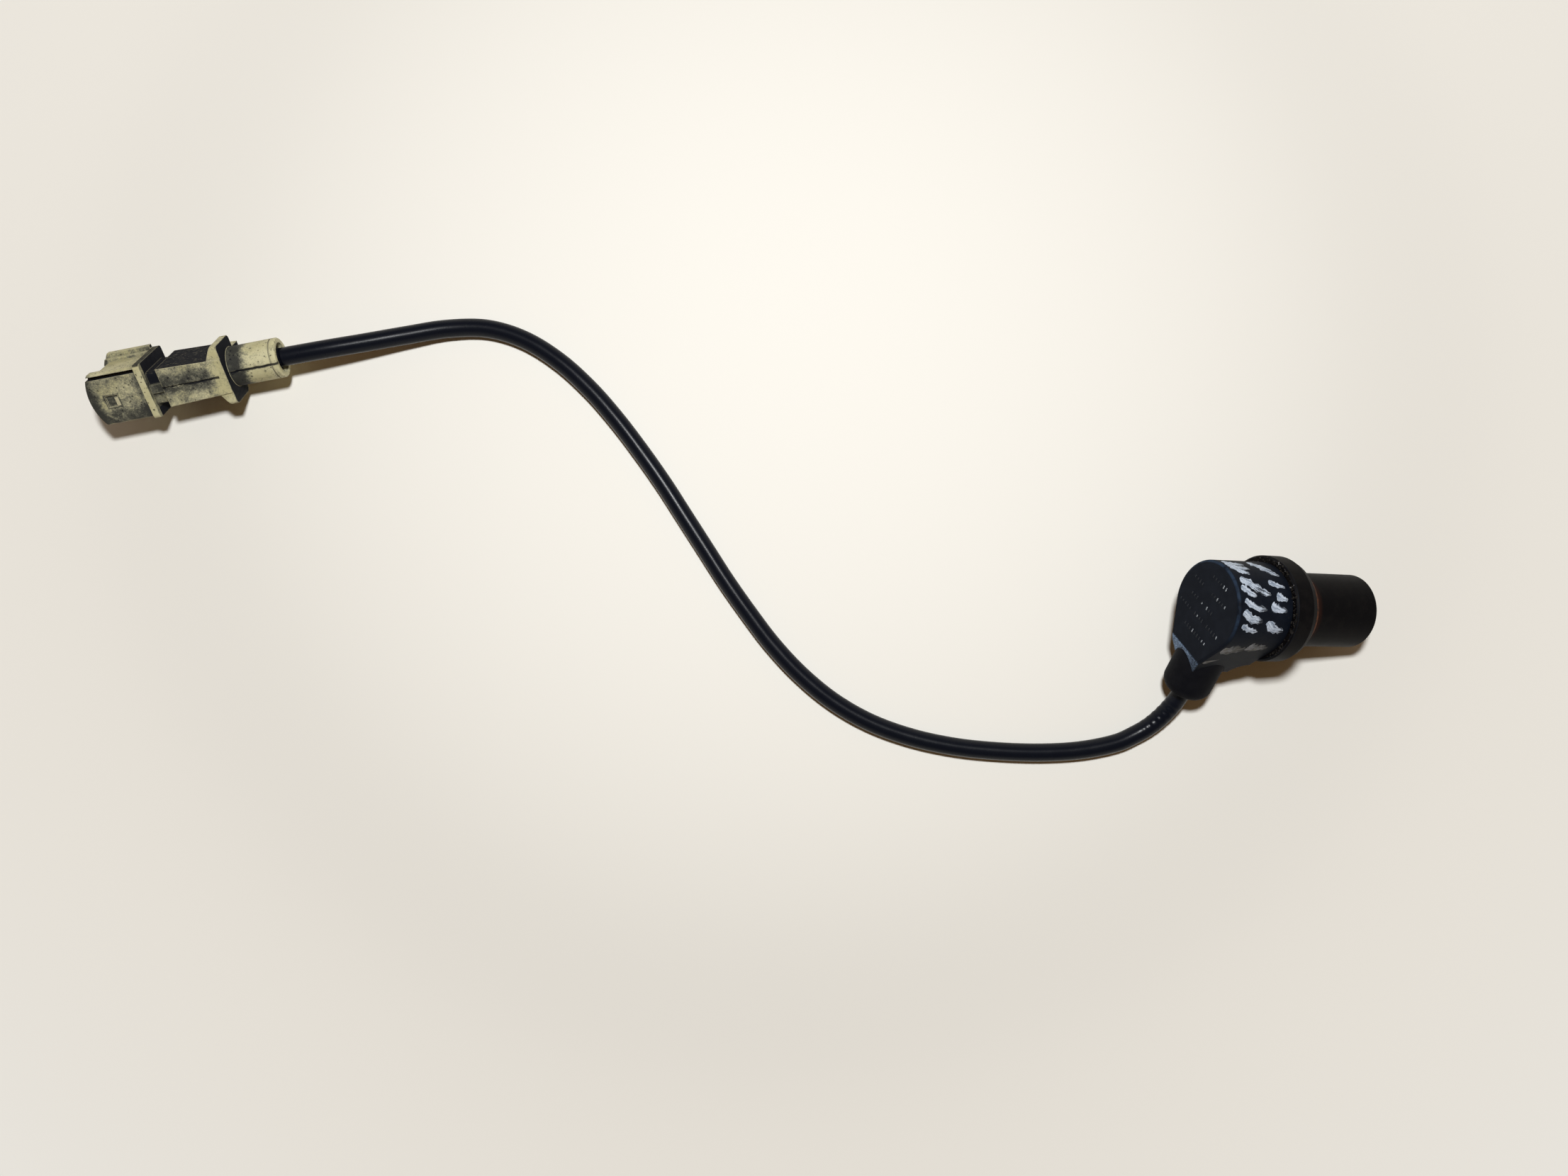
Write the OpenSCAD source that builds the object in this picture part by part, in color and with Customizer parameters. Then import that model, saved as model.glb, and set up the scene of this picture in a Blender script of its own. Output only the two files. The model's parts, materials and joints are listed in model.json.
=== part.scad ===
// Inductive crankshaft position sensor with its cable and three-pole plug, lying on a table.
// Millimetres, +Z up. The table is z = 0, +X runs from the sensor's head to its nose.

/* [Nose] */
// Diameter of the nose that enters the engine block
nose_d = 18; // [16:0.5:21]
// Length of the nose in front of the collar
nose_len = 21.8; // [18:0.2:30]
// Wall of the hollow nose
nose_wall = 1.6; // [1.2:0.1:2]
// Wall at the nose's tip
tip_wall = 1.4; // [1:0.1:2.4]
// Rounding of the tip's edge
tip_round = 0.6; // [0.2:0.1:1.4]

/* [Collar] */
// Diameter of the collar that seats on the block
collar_d = 25.6; // [24:0.2:32]
// Length of the collar
collar_len = 6.5; // [6:0.1:9]
// Length of the bevel at the collar's front
collar_bevel_len = 1.7; // [0.6:0.1:2.6]
// Drop of the bevel at the collar's front
collar_bevel_drop = 0.8; // [0.2:0.1:1.2]
// Chamfer of the collar's rear edge
collar_chamfer = 0.4; // [0.1:0.1:0.8]

/* [Sealing ring] */
// Thickness of the sealing ring
ring_section = 2.4; // [1.6:0.1:3]
// Depth to which the ring sits in the nose
ring_grip = 0.6; // [0.3:0.1:0.8]

/* [Head] */
// Diameter of the head's round side
head_d = 22.4; // [20:0.2:25]
// Length of the head behind the collar
head_len = 15.6; // [14:0.2:22]
// Distance from the axis to the flat that the boot seats on
head_flat = 12.6; // [12:0.1:16]
// Angle of each of the head's two straight sides to the boot
head_taper = 27; // [18:1:32]
// Rounding of the head's end face
head_round = 0.8; // [0.2:0.1:1.6]
// Thickness of the head's end wall
head_wall = 2.2; // [1.4:0.1:3.4]
// Width of the coil bobbin's rim that the head's spigot holds down
bobbin_hold = 1; // [0.6:0.1:1.4]
// Diameter of the spigot that enters the collar
spigot_d = 19.2; // [17:0.2:21]
// Length of that spigot
spigot_len = 5.4; // [3:0.1:5.6]
// Slant of the cut at the head's corner, from the end face
corner_slant = 25; // [15:1:40]

/* [Boot] */
// Diameter of the cable boot
boot_d = 12; // [10:0.2:13]
// Distance of the boot's axis from the head's end face
boot_at = 6.4; // [6.2:0.1:8]
// Length of the boot beyond the head's flat
boot_len = 13.4; // [10:0.2:18]
// Rounding of the boot's end
boot_round = 3.2; // [1:0.1:3.4]
// Diameter of the boot's neck inside the head
neck_d = 7.6; // [6.6:0.2:8]
// Length of the boot's neck
neck_len = 4; // [2:0.2:5]
// Fillet between the head and the boot
root_fillet = 4; // [1.5:0.1:5]

/* [Coil] */
// Diameter of the soft-iron pole pin
pole_d = 5; // [3:0.2:6]
// Wall of the bobbin's tube and of its magnet cup
bobbin_wall = 0.9; // [0.6:0.1:1.2]
// Thickness of the bobbin's flanges
bobbin_flange = 1.3; // [0.8:0.1:2]
// Gap between the winding and the nose's bore
winding_gap = 0.8; // [0.4:0.1:1.6]
// Diameter of the magnet behind the pole pin
magnet_d = 7; // [6.6:0.2:8]
// Length of the magnet
magnet_len = 4.8; // [3:0.2:6]
// Depth of the magnet's seat in its cup
magnet_seat = 3.2; // [1.5:0.1:3.2]
// Diameter of the two solder tags
tag_d = 0.8; // [0.5:0.1:1]
// Length of the solder tags behind the bobbin
tag_len = 2.5; // [1.5:0.1:4]

/* [Cable] */
// Diameter of the cable's jacket
cable_d = 4.6; // [3.6:0.1:5.4]
// Diameter of the insulated cores
core_d = 1.1; // [0.8:0.1:1.3]

/* [Plug rear] */
// Diameter of the plug's rear sleeve
sleeve_d = 9.8; // [9:0.2:12]
// Length of the rear sleeve
sleeve_len = 12; // [10:0.2:16]
// Rounding of the sleeve's end
sleeve_round = 0.5; // [0.2:0.1:0.8]
// Distance of the rim line from the sleeve's end
rim_at = 1.6; // [1:0.1:3]
// Diameter of the seal's bore in the sleeve
seal_d = 7.2; // [6.4:0.2:7.6]
// Length of the cable seal
seal_len = 7.5; // [4:0.1:8]
// Depth of the seal's end inside the sleeve
seal_recess = 1.4; // [0.5:0.1:2]

/* [Plug body] */
// Thickness of the two flanges
flange_t = 1.6; // [1:0.1:2.4]
// Width across the wings of the rear flange
wing_w = 14.8; // [13:0.1:18]
// Height of the wings above the plug's axis
wing_top = 6.9; // [6:0.1:7.1]
// Depth of the wings below the plug's axis
wing_low = 3.1; // [1:0.1:6]
// Rounding of the wings' tips
wing_round = 1.2; // [0.6:0.1:2]
// Length of the gusset in front of each wing
gusset_len = 1.8; // [0.8:0.1:3]
// Length of the body between the flanges
body_len = 17.2; // [15:0.2:22]
// Width of the body's core
core_w = 8.2; // [7.6:0.1:8.4]
// Width of the raised pads at the recess
pad_w = 9.7; // [9:0.1:11]
// Width of the raised pads at the wings
pad_rear_w = 8.6; // [8.5:0.1:9.6]
// Height across the raised pads
pad_h = 14.4; // [13:0.1:15]
// Length of the recess between the front flange and the pads
recess_len = 3.1; // [2:0.1:5]
// Wall round the wire chamber
chamber_wall = 1.1; // [0.8:0.1:1.3]

/* [Plug mouth] */
// Width of the front flange
front_w = 13.7; // [13.3:0.1:16]
// Height of the front flange
front_h = 15.6; // [15.2:0.1:18]
// Length of the shroud round the terminals
shroud_len = 13.2; // [12:0.2:16]
// Width of the shroud
shroud_w = 12.9; // [11.9:0.1:13.1]
// Height of the shroud
shroud_h = 14.8; // [14.2:0.1:15]
// Wall of the shroud
shroud_wall = 1.5; // [1.2:0.1:1.7]
// Crown radius of the shroud's narrow faces
crown_r = 16; // [14:1:40]
// Radius of the shroud's bowed front edge
lip_r = 13; // [12:1:40]
// Depth of the recessed panel in each wide side
panel_depth = 0.8; // [0.3:0.1:0.9]
// Height of the recessed panel
panel_h = 9.4; // [7:0.1:10]
// Depth of the notch at the front of each wide side
notch_len = 2.6; // [2:0.1:6]
// Height of the guide rib along one lower edge of the shroud
guide_h = 1.4; // [0.8:0.1:2]
// Stand of the guide rib out of the shroud's side
guide_out = 1.2; // [0.5:0.1:1.6]
// Thickness of the bulkhead that holds the terminals
bulkhead_t = 4; // [2:0.2:6]

/* [Terminals] */
// Width of each terminal blade
blade_w = 2.8; // [1.6:0.1:3]
// Thickness of each terminal blade
blade_t = 0.8; // [0.5:0.1:1.2]
// Distance between neighbouring terminals
blade_pitch = 4; // [3.6:0.1:4.2]
// Depth of the blade tips inside the mouth
blade_recess = 5.4; // [3:0.1:6]
// Length of each blade's tail in the wire chamber
tail_len = 2.4; // [1:0.1:4]
// Width of each blade's tail
tail_w = 1.6; // [1:0.1:1.8]

/* [Fits] */
// Clearance of pieces that slide into one another
fit = 0.05; // [0.02:0.01:0.1]
// Room above and below the terminals in the wire chamber
chamber_gap = 0.2; // [0.1:0.1:0.4]
// Gap at each end of an insulated core
core_slack = 0.2; // [0.1:0.1:0.3]

/* [Resting pose] */
// Tilt of the sensor, its head raised
rest_tilt = 21; // [18:1:24]
// Turn of the boot below the level of the axis
boot_roll = 36; // [32:1:38]
// Direction of the plug on the table
plug_yaw = 12.8; // [0:0.1:20]
// Turn of the plug about its own axis
plug_roll = 30; // [0:0.5:40]

/* [Hidden] */
$fn = 64;
eps = 0.01;
over = 1;
reach = 40;

// Stations along the sensor's axis, from the head's end face to the nose's tip
collar_front = head_len + collar_len;
bobbin_back = head_len + spigot_len;
tip = collar_front + nose_len;
tip_inside = tip - tip_wall;
bore_d = nose_d - 2 * nose_wall;
groove_d = nose_d - 2 * ring_grip;
head_hollow_d = bore_d - 2 * bobbin_hold;
pole_stand = 1;
pole_back = bobbin_back - pole_stand;
cup_d = magnet_d + 2 * fit + 2 * bobbin_wall;
spool_d = pole_d + 2 * fit + 2 * bobbin_wall;
tag_at = (cup_d + head_hollow_d) / 4;
tag_spread = 25;
tail_reach = 1.4;
tail_end = head_hollow_d / 2 - tail_reach;
core_gap = 0.9;
boot_end = head_flat + boot_len;
corner_depth = root_fillet * tan(corner_slant);

// Stations along the plug's axis, from the sleeve's end to the mouth
wing_back = -sleeve_len - flange_t;
body_back = wing_back - body_len;
pad_back = body_back + recess_len;
front_back = body_back - flange_t;
mouth = front_back - shroud_len;
bulkhead_front = body_back - bulkhead_t / 2;
bulkhead_back = bulkhead_front + bulkhead_t;
chamber_end = wing_back;
chamber_h = 2 * blade_pitch + tail_w + 2 * chamber_gap;
core_h = chamber_h + 2 * chamber_wall;
jacket_reach = 1;
jacket_end = chamber_end - jacket_reach;
blade_chamfer = 0.25;
seal_ribs = 3;
plate_round = 0.9;
seam_w = 0.35;
seam_depth = 0.3;
rail_groove_w = 0.8;
rail_groove_depth = 0.5;
rail_w = 0.5;
guide_drop = 0.5;
lug_w = 2.2;
lug_drop = 0.6;
latch = [3, 2.8, 0.45];
latch_bar = [0.9, 2.2];
latch_at = [6.3, -2.1];

// Places on the table: the sensor lies on the rim of its nose, the plug on its lowest corner
sensor_x = -19.63;
sensor_y = 5.25;
sensor_z = (tip - tip_round) * sin(rest_tilt) + nose_d / 2 * cos(rest_tilt) + tip_round * (1 - cos(rest_tilt));
plug_x = -245.8;
plug_y = 59.9;
plug_z = max(plate_drop(front_w, front_h, plate_round), plate_drop(pad_w, pad_h, 0));

// The cable's route: out of the boot, down to the table, through one long S, up into the plug
axis_dir = [cos(rest_tilt), 0, -sin(rest_tilt)];
down_dir = [-sin(rest_tilt), 0, -cos(rest_tilt)];
boot_dir = [0, -cos(boot_roll), 0] + sin(boot_roll) * down_dir;
plug_dir = [cos(plug_yaw), sin(plug_yaw), 0];
boot_exit = [sensor_x, sensor_y, sensor_z] + boot_at * axis_dir + boot_end * boot_dir;
plug_exit = [plug_x, plug_y, plug_z];
lie = cable_d / 2;
route_mid = [
    [-20.5, -19.2, 5.3],
    [-22.7, -22.5, 3.7],
    [-25.6, -25.5, 2.7],
    [-29.2, -27.9, lie],
    [-34.3, -30.3, lie],
    [-43, -32.3, lie],
    [-53, -33.2, lie],
    [-64, -33.2, lie],
    [-75, -32.4, lie],
    [-86, -30.4, lie],
    [-96.5, -27, lie],
    [-106, -22, lie],
    [-114.5, -15.5, lie],
    [-122, -8, lie],
    [-128.5, 0, lie],
    [-134.5, 8, lie],
    [-140, 16, lie],
    [-145.5, 24, lie],
    [-151, 32, lie],
    [-157, 40, lie],
    [-163.5, 48, lie],
    [-170.5, 55.5, lie],
    [-178.5, 62.3, lie],
    [-187.5, 67.5, lie],
    [-197, 70, 2.5],
    [-207, 69.5, 3.2],
    [-217, 67.2, 4.8],
    [-226.5, 64.7, 6.8],
    [-236, 62.3, 8.7]
];
route = concat([boot_exit], route_mid, [plug_exit]);
cable_sides = 10;
core_colours = [[0.45, 0.25, 0.12], [0.6, 0.49, 0.4], [0.75, 0.73, 0.68]];

// Height of the plug's axis when a corner of one of its plates, with rounding r, touches the table
function plate_drop(w, h, r) = (w / 2 - r) * sin(plug_roll) + (h / 2 - r) * cos(plug_roll) + r;

function unit(v) = v / norm(v);

// Direction of the route at point i: the chord of its neighbours, and the fixed pieces' own axes at its ends
function heading(i) =
    i == 0 ? boot_dir :
    i == len(route) - 1 ? -plug_dir :
    unit(route[i + 1] - route[i - 1]);

// One ring of the tube: points around the route at i, square to its direction
function ring(i) =
    let (
        along = heading(i),
        side = unit(cross(along, [0, 0, 1])),
        top = cross(side, along)
    )
    [for (k = [0 : cable_sides - 1])
        route[i] + cable_d / 2 * (sin(360 * k / cable_sides) * side - cos(360 * k / cable_sides) * top)];

// The four-sided faces between neighbouring rings, and the two end faces
function tube_faces(rings, sides) = concat(
    [[for (k = [0 : sides - 1]) k]],
    [for (i = [0 : rings - 2], k = [0 : sides - 1])
        let (here = i * sides, next = (k + 1) % sides)
        [here + k, here + sides + k, here + sides + next, here + next]],
    [[for (k = [sides - 1 : -1 : 0]) (rings - 1) * sides + k]]
);

// Places children given along the sensor's axis: z from the head to the nose, x towards the boot
module on_sensor() {
    translate([sensor_x, sensor_y, sensor_z])
        rotate([0, 90 + rest_tilt, 0])
            rotate([0, 0, boot_roll - 90])
                children();
}

// Places children given along the boot's axis, z outwards from the sensor's axis
module on_boot() {
    on_sensor()
        translate([0, 0, boot_at])
            rotate([0, 90, 0])
                children();
}

// Places children given along the plug's axis: x towards the cable, z its narrow upper face
module on_plug() {
    translate(plug_exit)
        rotate([0, 0, plug_yaw])
            rotate([plug_roll, 0, 0])
                children();
}

// Raises an outline drawn in width and height along the plug's axis, from x0 over a length
module along_plug(x0, length) {
    translate([x0, 0, 0])
        rotate([90, 0, 90])
            linear_extrude(length)
                children();
}

// Profile of a round bar from z0 to z1 whose edge at z1 is rounded
module round_end_profile(radius, z0, z1, edge) {
    translate([0, z0])
        square([radius, z1 - z0 - edge]);
    translate([0, z0])
        square([radius - edge, z1 - z0]);
    translate([radius - edge, z1 - edge])
        intersection() {
            circle(edge);
            square(edge);
        }
}

// Rectangle about the origin with round corners
module round_rect(w, h, r) {
    square([w - 2 * r, h], center = true);
    square([w, h - 2 * r], center = true);
    for (x = [-1, 1], y = [-1, 1])
        translate([x * (w / 2 - r), y * (h / 2 - r)])
            circle(r);
}

// A straight round wire from one point to another
module wire(from, to, d) {
    step = to - from;
    translate(from)
        rotate([0, acos(step.z / norm(step)), atan2(step.y, step.x)])
            cylinder(d = d, h = norm(step));
}

// Outline of the head: a round back whose two tangents run together towards the boot
module head_outline(flat) {
    r = head_d / 2;
    half = (r - flat * sin(head_taper)) / cos(head_taper);
    polygon([
        [0, 0],
        [r * sin(head_taper), r * cos(head_taper)],
        [flat, half],
        [flat, -half],
        [r * sin(head_taper), -r * cos(head_taper)]
    ]);
}

// Side view of the head's boot end: slanted at the end face, filleted towards the collar
module head_side() {
    far = head_flat + root_fillet;
    difference() {
        polygon([
            [0, 0],
            [head_flat, 0],
            [far, corner_depth],
            [far, head_len],
            [0, head_len]
        ]);
        translate([far, boot_at + boot_d / 2 + root_fillet])
            circle(root_fillet);
    }
}

// The head's solid outside: round back, tapered end, spigot
module head_body() {
    rotate([180, 0, 0])
        rotate_extrude()
            round_end_profile(head_d / 2, -head_len, 0, head_round);
    difference() {
        intersection() {
            linear_extrude(head_len)
                head_outline(head_flat + root_fillet);
            rotate([90, 0, 0])
                linear_extrude(reach, center = true)
                    head_side();
        }
        for (side = [-1, 1])
            rotate([0, 0, side * (90 - head_taper)])
                translate([head_d / 2, 0, 0])
                    rotate([0, 45, 0])
                        cube([head_round, reach, head_round], center = true);
        translate([head_flat, 0, boot_at])
            rotate([0, 90, 0])
                cylinder(d = boot_d, h = reach);
    }
    translate([0, 0, head_len])
        cylinder(d = spigot_d, h = spigot_len);
}

module head_cap() {
    color([0.13, 0.14, 0.14])
        on_sensor()
            difference() {
                head_body();
                translate([0, 0, head_wall])
                    cylinder(d = head_hollow_d, h = reach);
                translate([0, 0, boot_at])
                    rotate([0, 90, 0])
                        cylinder(d = cable_d + 2 * fit, h = reach);
                translate([head_flat - neck_len, 0, boot_at])
                    rotate([0, 90, 0])
                        cylinder(d = neck_d, h = reach);
            }
}

// Half section of the collar and nose, from the collar's rear face to the tip
module nose_section() {
    r = collar_d / 2;
    polygon([
        [0, head_len],
        [r - collar_chamfer, head_len],
        [r, head_len + collar_chamfer],
        [r, collar_front - collar_bevel_len],
        [r - collar_bevel_drop, collar_front],
        [groove_d / 2, collar_front],
        [groove_d / 2, collar_front + ring_section],
        [0, collar_front + ring_section]
    ]);
    round_end_profile(nose_d / 2, collar_front + ring_section, tip, tip_round);
}

module nose_sleeve() {
    color([0.09, 0.08, 0.07])
        on_sensor()
            difference() {
                rotate_extrude()
                    nose_section();
                translate([0, 0, head_len - over])
                    cylinder(d = spigot_d + 2 * fit, h = spigot_len + over);
                cylinder(d = bore_d, h = tip_inside);
                cylinder(d = pole_d + 2 * fit, h = tip + over);
            }
}

module sealing_ring() {
    color([0.36, 0.19, 0.1])
        on_sensor()
            translate([0, 0, collar_front + ring_section / 2])
                rotate_extrude()
                    translate([groove_d / 2 + ring_section / 2, 0])
                        circle(d = ring_section - 2 * fit);
}

module cable_boot() {
    color([0.11, 0.11, 0.12])
        on_boot()
            difference() {
                union() {
                    rotate_extrude()
                        round_end_profile(boot_d / 2, head_flat, boot_end, boot_round);
                    translate([0, 0, head_flat - neck_len])
                        cylinder(d = neck_d - 2 * fit, h = neck_len + over);
                }
                cylinder(d = cable_d + 2 * fit, h = reach);
            }
}

module pole_pin() {
    color([0.55, 0.55, 0.56])
        on_sensor()
            translate([0, 0, pole_back])
                cylinder(d = pole_d, h = tip - pole_back);
}

module magnet() {
    color([0.42, 0.42, 0.45])
        on_sensor()
            translate([0, 0, pole_back - magnet_len])
                cylinder(d = magnet_d, h = magnet_len);
}

// Place of one solder tag, side = 1 or -1
function tag_place(side) = [tag_at * cos(tag_spread), side * tag_at * sin(tag_spread), 0];

module coil_bobbin() {
    flange_d = bore_d - 2 * fit;
    color([0.75, 0.72, 0.62])
        on_sensor()
            difference() {
                union() {
                    translate([0, 0, bobbin_back])
                        cylinder(d = flange_d, h = bobbin_flange);
                    translate([0, 0, tip_inside - bobbin_flange])
                        cylinder(d = flange_d, h = bobbin_flange);
                    translate([0, 0, bobbin_back])
                        cylinder(d = spool_d, h = tip_inside - bobbin_back);
                    translate([0, 0, pole_back - magnet_seat])
                        cylinder(d = cup_d, h = magnet_seat + bobbin_back - pole_back + eps);
                }
                cylinder(d = pole_d + 2 * fit, h = tip);
                cylinder(d = magnet_d + 2 * fit, h = pole_back);
                for (side = [-1, 1])
                    translate(tag_place(side))
                        cylinder(d = tag_d + 2 * fit, h = bobbin_back + bobbin_flange + eps);
            }
}

module coil_winding() {
    z0 = bobbin_back + bobbin_flange;
    z1 = tip_inside - bobbin_flange;
    color([0.6, 0.29, 0.14])
        on_sensor()
            difference() {
                translate([0, 0, z0 + fit])
                    cylinder(d = bore_d - 2 * winding_gap, h = z1 - z0 - 2 * fit);
                cylinder(d = spool_d + 2 * fit, h = tip);
            }
}

module solder_tag(side) {
    color([0.8, 0.79, 0.74])
        on_sensor()
            translate(tag_place(side) + [0, 0, bobbin_back - tag_len])
                cylinder(d = tag_d, h = tag_len + bobbin_flange);
}

// One insulated core from the cable's end in the head to its solder tag
module head_core(side) {
    color(core_colours[side + 1])
        on_sensor()
            wire(
                [tail_end - core_d / 2 - core_slack, side * core_gap, boot_at],
                tag_place(side) + [0, 0, bobbin_back - tag_len - core_slack],
                core_d
            );
}

module cable_tail() {
    color([0.08, 0.08, 0.1])
        on_boot()
            translate([0, 0, tail_end])
                cylinder(d = cable_d, h = boot_end - tail_end);
}

module cable() {
    rings = len(route);
    color([0.06, 0.06, 0.09])
        polyhedron(
            points = [for (i = [0 : rings - 1]) each ring(i)],
            faces = tube_faces(rings, cable_sides),
            convexity = 4
        );
}

// Outline of the raised pads seen from above, narrower towards the wings
module pad_outline() {
    polygon([
        [pad_back, -pad_w / 2],
        [-sleeve_len, -pad_rear_w / 2],
        [-sleeve_len, pad_rear_w / 2],
        [pad_back, pad_w / 2]
    ]);
}

// Outline of the wings seen from above: gussets that slant out of the pads, drawn past the rear face
module wing_outline() {
    slope = (wing_w - pad_rear_w) / 2 / gusset_len;
    half = wing_w / 2 + (flange_t + over) * slope;
    polygon([
        [wing_back - gusset_len, -pad_rear_w / 2],
        [over - sleeve_len, -half],
        [over - sleeve_len, half],
        [wing_back - gusset_len, pad_rear_w / 2]
    ]);
}

// The two wings of the rear flange, their tips rounded
module wings() {
    intersection() {
        linear_extrude(reach, center = true)
            wing_outline();
        along_plug(wing_back - gusset_len - over, gusset_len + over + flange_t)
            translate([0, (wing_top - wing_low) / 2])
                round_rect(wing_w, wing_top + wing_low, wing_round);
    }
}

// The shroud's outside: crowned narrow faces and a bowed front edge
module shroud_body() {
    intersection() {
        along_plug(mouth, shroud_len + eps)
            round_rect(shroud_w, shroud_h, plate_round);
        for (side = [-1, 1])
            translate([mouth, 0, side * (shroud_h / 2 - crown_r)])
                rotate([0, 90, 0])
                    cylinder(r = crown_r, h = shroud_len + eps);
    }
}

// Rear sleeve with its rounded end and the fine line round its rim
module sleeve_body() {
    rotate([0, 90, 0])
        difference() {
            rotate_extrude()
                round_end_profile(sleeve_d / 2, -sleeve_len, 0, sleeve_round);
            translate([0, 0, -rim_at])
                difference() {
                    cylinder(d = sleeve_d + over, h = seam_w);
                    cylinder(d = sleeve_d - 2 * seam_depth, h = seam_w);
                }
        }
}

// The plug's outside without its hollows
module plug_body() {
    sleeve_body();
    wings();
    along_plug(body_back, body_len)
        round_rect(core_w, core_h, plate_round);
    translate([0, 0, -pad_h / 2])
        linear_extrude(pad_h)
            pad_outline();
    translate([body_back, -lug_w / 2, -pad_h / 2 + lug_drop])
        cube([recess_len, lug_w, pad_h - 2 * lug_drop]);
    along_plug(front_back, flange_t)
        round_rect(front_w, front_h, plate_round);
    shroud_body();
    translate([mouth, shroud_w / 2 - shroud_wall, guide_drop - shroud_h / 2])
        cube([shroud_len, shroud_wall + guide_out, guide_h]);
}

// Hollows of the plug: mouth, terminal slots, wire chamber and the seal's bore
module plug_hollows() {
    mouth_w = shroud_w - 2 * shroud_wall;
    mouth_h = shroud_h - 2 * shroud_wall;
    along_plug(mouth - over, bulkhead_front - mouth + over)
        square([mouth_w, mouth_h], center = true);
    for (k = [-1, 0, 1])
        along_plug(bulkhead_front - over, bulkhead_t + over)
            translate([0, k * blade_pitch])
                square([blade_t + 2 * fit, blade_w + 2 * fit], center = true);
    along_plug(bulkhead_back - eps, chamber_end - bulkhead_back + eps)
        square([core_w - 2 * chamber_wall, chamber_h], center = true);
    translate([jacket_end - over, 0, 0])
        rotate([0, 90, 0])
            cylinder(d = cable_d + 2 * fit, h = reach);
    translate([-seal_recess - seal_len, 0, 0])
        rotate([0, 90, 0])
            cylinder(d = seal_d, h = reach);
}

// Fine cuts of the plug: seams, rail grooves, side panels, front notches and the latch pocket
module plug_cuts() {
    for (side = [-1, 1]) {
        translate([pad_back, -seam_w / 2, side * pad_h / 2 - seam_depth])
            cube([wing_back - pad_back - flange_t, seam_w, 2 * seam_depth]);
        translate([-sleeve_len, -seam_w / 2, side * sleeve_d / 2 - seam_depth])
            cube([sleeve_len - rim_at, seam_w, 2 * seam_depth]);
        translate([mouth - over, side * shroud_w / 2 - panel_depth, -panel_h / 2])
            cube([shroud_len + over, 2 * panel_depth, panel_h]);
        translate([mouth - over, side * shroud_w / 2 - 2 * shroud_wall, -panel_h / 2])
            cube([notch_len + over, 4 * shroud_wall, panel_h]);
    }
    groove_y = shroud_w / 2 - rail_w - rail_groove_w;
    groove_z = shroud_h / 2 - crown_r + sqrt(crown_r ^ 2 - (groove_y + rail_groove_w) ^ 2);
    translate([mouth - over, groove_y, groove_z - rail_groove_depth])
        cube([shroud_len + over, rail_groove_w, reach]);
    translate([front_back - latch_at.x - latch.x, latch_at.y, shroud_h / 2 - latch.z])
        difference() {
            cube([latch.x, latch.y, reach]);
            translate([latch.x - latch_bar.x, 0, -over])
                cube([latch_bar.x, latch_bar.y, reach]);
        }
}

// Everything in front of the bowed front edge of the mouth
module lip_cut() {
    difference() {
        translate([mouth - reach, -reach, -reach])
            cube([reach + lip_r, 2 * reach, 2 * reach]);
        translate([mouth + lip_r, 0, -reach])
            cylinder(r = lip_r, h = 2 * reach);
    }
}

module plug_housing() {
    color([0.78, 0.74, 0.57])
        on_plug()
            difference() {
                plug_body();
                plug_hollows();
                plug_cuts();
                lip_cut();
            }
}

module cable_seal() {
    rib = seal_len / (2 * seal_ribs - 1);
    color([0.12, 0.12, 0.13])
        on_plug()
            translate([-seal_recess - seal_len, 0, 0])
                rotate([0, 90, 0])
                    difference() {
                        cylinder(d = seal_d - 2 * fit, h = seal_len);
                        cylinder(d = cable_d + 2 * fit, h = reach);
                        for (k = [1 : seal_ribs - 1])
                            translate([0, 0, (2 * k - 1) * rib])
                                difference() {
                                    cylinder(d = seal_d + over, h = rib);
                                    cylinder(d = (seal_d + cable_d) / 2, h = rib);
                                }
                    }
}

module plug_cable_end() {
    color([0.08, 0.08, 0.1])
        on_plug()
            translate([jacket_end, 0, 0])
                rotate([0, 90, 0])
                    cylinder(d = cable_d, h = -jacket_end);
}

// One terminal: a blade through the bulkhead with a chamfered tip, and its narrower tail
module blade(k) {
    tip_x = mouth + blade_recess;
    length = bulkhead_back - tip_x;
    color([0.72, 0.66, 0.5])
        on_plug()
            translate([tip_x, 0, k * blade_pitch]) {
                linear_extrude(blade_w, center = true)
                    polygon([
                        [0, blade_chamfer - blade_t / 2],
                        [2 * blade_chamfer, -blade_t / 2],
                        [length, -blade_t / 2],
                        [length, blade_t / 2],
                        [2 * blade_chamfer, blade_t / 2],
                        [0, blade_t / 2 - blade_chamfer]
                    ]);
                translate([length - eps, -blade_t / 2, -tail_w / 2])
                    cube([tail_len + eps, blade_t, tail_w]);
            }
}

// One insulated core from a terminal's tail to the cable's end in the plug
module plug_core(k) {
    color(core_colours[k + 1])
        on_plug()
            wire(
                [bulkhead_back + tail_len + core_slack, 0, k * blade_pitch],
                [jacket_end - core_slack, 0, k * (core_d + core_slack)],
                core_d
            );
}

nose_sleeve();
sealing_ring();
head_cap();
cable_boot();
pole_pin();
magnet();
coil_bobbin();
coil_winding();
solder_tag(1);  // solder_tag_1
solder_tag(-1);  // solder_tag_2
head_core(1);  // head_core_1
head_core(-1);  // head_core_2
cable_tail();
cable();
plug_housing();
cable_seal();
plug_cable_end();
blade(-1);  // blade_1
blade(0);  // blade_2
blade(1);  // blade_3
plug_core(-1);  // plug_core_1
plug_core(0);  // plug_core_2
plug_core(1);  // plug_core_3
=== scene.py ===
"""Crankshaft position sensor with its cable and plug: its looks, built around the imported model."""
import json
import math

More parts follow.
